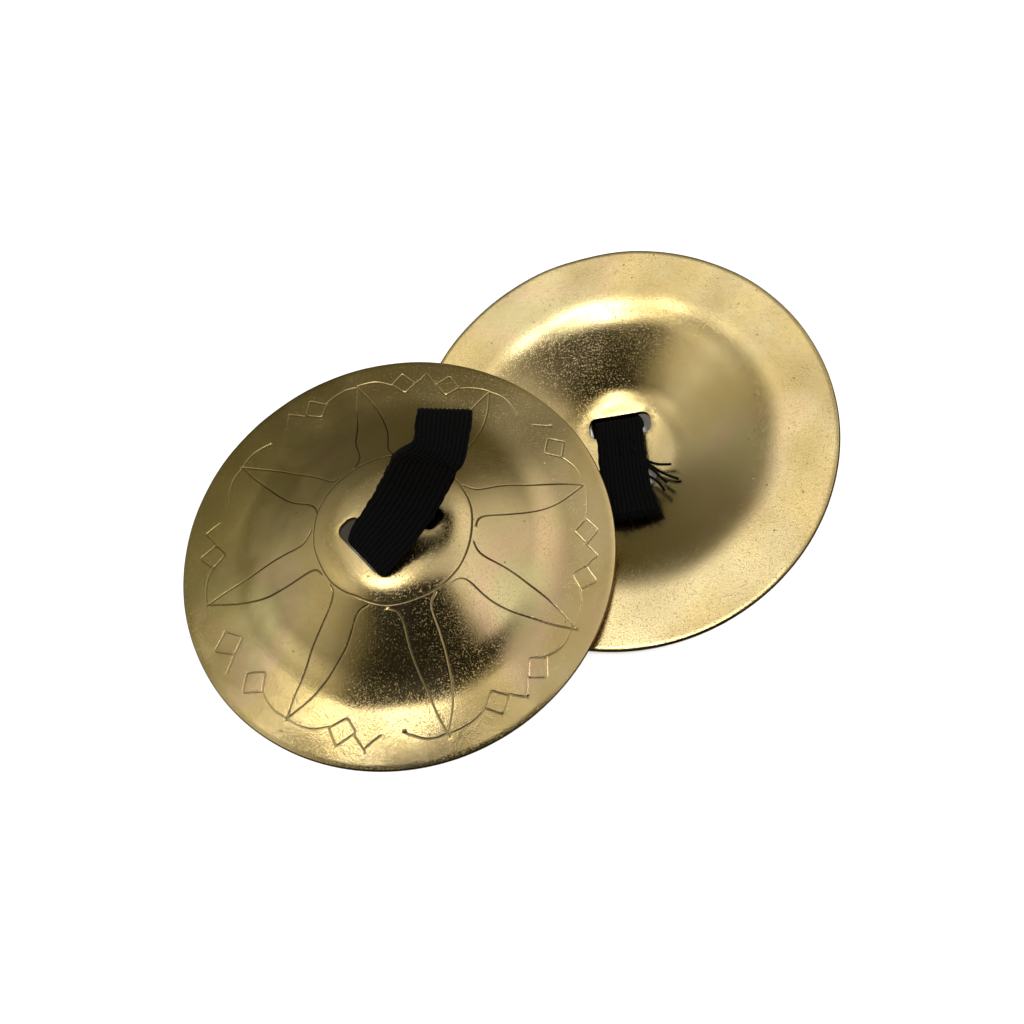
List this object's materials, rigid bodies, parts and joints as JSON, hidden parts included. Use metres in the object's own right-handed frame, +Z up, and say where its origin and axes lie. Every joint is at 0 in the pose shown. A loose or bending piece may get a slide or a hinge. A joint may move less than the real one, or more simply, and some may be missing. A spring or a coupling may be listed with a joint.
{
  "type": "finger cymbals",
  "caption": "Pair of belled brass finger cymbals on sewn elastic finger loops, one lying bell up across the open side of the other.",
  "frame": {"origin": "bottom centre of the pair's bounding box, on the table", "axes": "+Z up from the table; +X along the width of the standing finger loop, from the side of the upper cymbal to the side of the lower one; +Y away from the side on which the pair is looked at"},
  "size_m": [0.0794, 0.0666, 0.0279],
  "materials": {
    "brass": "satin, spun and lightly scratched",
    "elastic": "ribbed braided elastic",
    "thread": "matt sewing thread"
  },
  "bodies": {
    "lower_cymbal": {"lower_disc": "brass", "lower_strap_ends": "elastic", "lower_stitching": "thread"},
    "lower_loop": {"lower_finger_loop": "elastic"},
    "upper_cymbal": {"upper_disc": "brass", "upper_strap_ends": "elastic", "upper_stitching": "thread"},
    "upper_loop": {"upper_finger_loop": "elastic"}
  },
  "joints": [
    {"name": "upper_lift", "type": "slide", "parent": "lower_cymbal", "child": "upper_cymbal", "axis": [0, 0, 1], "range_m": [0, 0.04]},
    {"name": "upper_loop_lean", "type": "hinge", "parent": "upper_cymbal", "child": "upper_loop", "pos_m": [-0.01361, -0.00715, 0.01197], "axis": [-0.7071, 0.7071, -0.0047], "range_deg": [-78, 10]},
    {"name": "lower_loop_fold", "type": "hinge", "parent": "lower_cymbal", "child": "lower_loop", "pos_m": [0.01592, 0.00844, 0.00179], "axis": [-0.959, -0.0167, -0.2829], "range_deg": [0, 110]}
  ]
}
